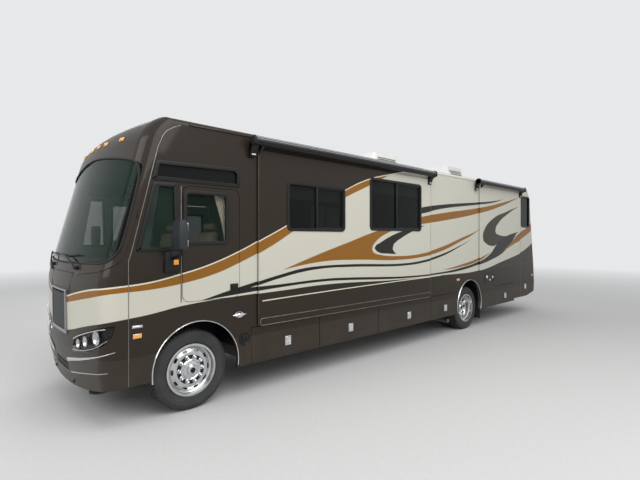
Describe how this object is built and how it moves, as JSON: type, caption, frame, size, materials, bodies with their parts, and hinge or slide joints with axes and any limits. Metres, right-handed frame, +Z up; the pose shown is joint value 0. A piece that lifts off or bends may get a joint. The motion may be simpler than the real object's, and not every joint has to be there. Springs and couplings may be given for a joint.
{
  "type": "motorhome",
  "caption": "Large bus-style motorhome with side slide-outs, storage bay doors, steered front wheels, twin rear wheels and hinged cab doors.",
  "frame": {"origin": "on the ground below the middle of the coach, halfway along its length and width", "axes": "+X forward, +Y to the driver's side, +Z up"},
  "size_m": [11.2909, 3.2444, 3.775],
  "materials": {
    "body_paint": "metallic paint with stripes, clear coated",
    "roof_membrane": "pale rubber sheet",
    "frame_steel": "black chassis paint",
    "engine_iron": "rough",
    "exhaust_steel": "dull",
    "floor_board": "black underside",
    "bay_liner": "moulded liner",
    "windshield_glass": "clear, lightly tinted",
    "tinted_glass": "dark tint",
    "lamp_lens": "clear moulded lens",
    "red_lens": "red moulded lens",
    "grille_plastic": "dark moulding",
    "shroud_plastic": "pale moulding",
    "cab_plastic": "grained",
    "seat_cloth": "upholstery",
    "mirror_shell": "painted moulding",
    "flap_rubber": "matt",
    "bright_steel": "polished",
    "awning_metal": "satin",
    "tyre": "matt rubber"
  },
  "bodies": {
    "coach": {"chassis_frame": "frame_steel", "engine_block": "engine_iron", "front_axle": "frame_steel", "rear_axle": "frame_steel", "fuel_tank": "frame_steel", "exhaust": "exhaust_steel", "floor": "floor_board", "entry_well": "floor_board", "wheel_housings": "bay_liner", "storage_bays": "bay_liner", "left_wall": "body_paint", "right_wall": "body_paint", "roof": "roof_membrane", "front_cap": "body_paint", "windshield": "windshield_glass", "rear_cap": "body_paint", "grille": "grille_plastic", "headlamps": "lamp_lens", "tail_lamps": "red_lens", "wall_glass": "tinted_glass", "roof_units": "shroud_plastic", "dashboard": "cab_plastic", "cab_seats": "seat_cloth", "mirrors": "mirror_shell", "mud_flaps": "flap_rubber", "levelling_jacks": "frame_steel", "rear_ladder": "bright_steel", "patio_awning": "awning_metal", "hitch_receiver": "frame_steel"},
    "knuckle_left": {"knuckle_left": "frame_steel"},
    "front_wheel_left": {"front_tyre_left": "tyre", "front_rim_left": "bright_steel"},
    "rear_wheels_left": {"rear_tyre_left": "tyre", "rear_rim_left": "bright_steel"},
    "knuckle_right": {"knuckle_right": "frame_steel"},
    "front_wheel_right": {"front_tyre_right": "tyre", "front_rim_right": "bright_steel"},
    "rear_wheels_right": {"rear_tyre_right": "tyre", "rear_rim_right": "bright_steel"},
    "tie_rod": {"tie_rod": "frame_steel"},
    "driver_door": {"driver_door": "body_paint", "driver_door_glass": "tinted_glass"},
    "entry_door": {"entry_door": "body_paint", "entry_door_glass": "tinted_glass"},
    "slide_out_front": {"slide_out_front": "body_paint", "slide_out_front_glass": "tinted_glass"},
    "slide_out_rear": {"slide_out_rear": "body_paint"},
    "bay_door_left_1": {"bay_door_left_1": "body_paint"},
    "bay_door_left_2": {"bay_door_left_2": "body_paint"},
    "bay_door_left_3": {"bay_door_left_3": "body_paint"},
    "bay_door_left_4": {"bay_door_left_4": "body_paint"},
    "bay_door_left_5": {"bay_door_left_5": "body_paint"},
    "bay_door_right_1": {"bay_door_right_1": "body_paint"},
    "bay_door_right_2": {"bay_door_right_2": "body_paint"},
    "bay_door_right_3": {"bay_door_right_3": "body_paint"},
    "bay_door_right_4": {"bay_door_right_4": "body_paint"}
  },
  "joints": [
    {"name": "steer_left", "type": "hinge", "parent": "coach", "child": "knuckle_left", "pos_m": [4.54925, 0.86, 0.4585], "axis": [0, 0, 1], "range_deg": [-40, 40]},
    {"name": "steer_right", "type": "hinge", "parent": "coach", "child": "knuckle_right", "pos_m": [4.54925, -0.86, 0.4585], "axis": [0, 0, 1], "range_deg": [-40, 40]},
    {"name": "tie_rod_slide", "type": "slide", "parent": "coach", "child": "tie_rod", "axis": [0, 1, 0], "range_m": [-0.162, 0.162]},
    {"name": "front_wheel_left_spin", "type": "hinge", "parent": "knuckle_left", "child": "front_wheel_left", "pos_m": [4.54925, 1.066, 0.4585], "axis": [0, 1, 0], "continuous": true},
    {"name": "rear_wheels_left_spin", "type": "hinge", "parent": "coach", "child": "rear_wheels_left", "pos_m": [-1.85075, 0.925, 0.4585], "axis": [0, 1, 0], "continuous": true},
    {"name": "front_wheel_right_spin", "type": "hinge", "parent": "knuckle_right", "child": "front_wheel_right", "pos_m": [4.54925, -1.066, 0.4585], "axis": [0, 1, 0], "continuous": true},
    {"name": "rear_wheels_right_spin", "type": "hinge", "parent": "coach", "child": "rear_wheels_right", "pos_m": [-1.85075, -0.925, 0.4585], "axis": [0, 1, 0], "continuous": true},
    {"name": "driver_door_hinge", "type": "hinge", "parent": "coach", "child": "driver_door", "pos_m": [4.71425, 1.28, 1.915], "axis": [0, 0, -1], "range_deg": [0, 80]},
    {"name": "entry_door_hinge", "type": "hinge", "parent": "coach", "child": "entry_door", "pos_m": [3.68925, -1.28, 1.585], "axis": [0, 0, 1], "range_deg": [0, 90]},
    {"name": "slide_out_front_slide", "type": "slide", "parent": "coach", "child": "slide_out_front", "axis": [0, 1, 0], "range_m": [0, 0.75]},
    {"name": "slide_out_rear_slide", "type": "slide", "parent": "coach", "child": "slide_out_rear", "axis": [0, 1, 0], "range_m": [0, 0.55]},
    {"name": "bay_door_left_1_hinge", "type": "hinge", "parent": "coach", "child": "bay_door_left_1", "pos_m": [3.21375, 1.28, 0.852], "axis": [1, 0, 0], "range_deg": [0, 85]},
    {"name": "bay_door_left_2_hinge", "type": "hinge", "parent": "coach", "child": "bay_door_left_2", "pos_m": [1.95225, 1.28, 0.852], "axis": [1, 0, 0], "range_deg": [0, 85]},
    {"name": "bay_door_left_3_hinge", "type": "hinge", "parent": "coach", "child": "bay_door_left_3", "pos_m": [0.49025, 1.28, 0.852], "axis": [1, 0, 0], "range_deg": [0, 85]},
    {"name": "bay_door_left_4_hinge", "type": "hinge", "parent": "coach", "child": "bay_door_left_4", "pos_m": [-0.74575, 1.28, 0.852], "axis": [1, 0, 0], "range_deg": [0, 85]},
    {"name": "bay_door_left_5_hinge", "type": "hinge", "parent": "coach", "child": "bay_door_left_5", "pos_m": [-3.60075, 1.28, 0.852], "axis": [1, 0, 0], "range_deg": [0, 85]},
    {"name": "bay_door_right_1_hinge", "type": "hinge", "parent": "coach", "child": "bay_door_right_1", "pos_m": [1.95225, -1.28, 0.852], "axis": [-1, 0, 0], "range_deg": [0, 85]},
    {"name": "bay_door_right_2_hinge", "type": "hinge", "parent": "coach", "child": "bay_door_right_2", "pos_m": [0.49025, -1.28, 0.852], "axis": [-1, 0, 0], "range_deg": [0, 85]},
    {"name": "bay_door_right_3_hinge", "type": "hinge", "parent": "coach", "child": "bay_door_right_3", "pos_m": [-0.74575, -1.28, 0.852], "axis": [-1, 0, 0], "range_deg": [0, 85]},
    {"name": "bay_door_right_4_hinge", "type": "hinge", "parent": "coach", "child": "bay_door_right_4", "pos_m": [-3.60075, -1.28, 0.852], "axis": [-1, 0, 0], "range_deg": [0, 85]}
  ],
  "couplings": [
    {"joint": "steer_right", "follows": "steer_left", "ratio": 1},
    {"joint": "tie_rod_slide", "follows": "steer_left", "m_per_rad": -0.23}
  ]
}
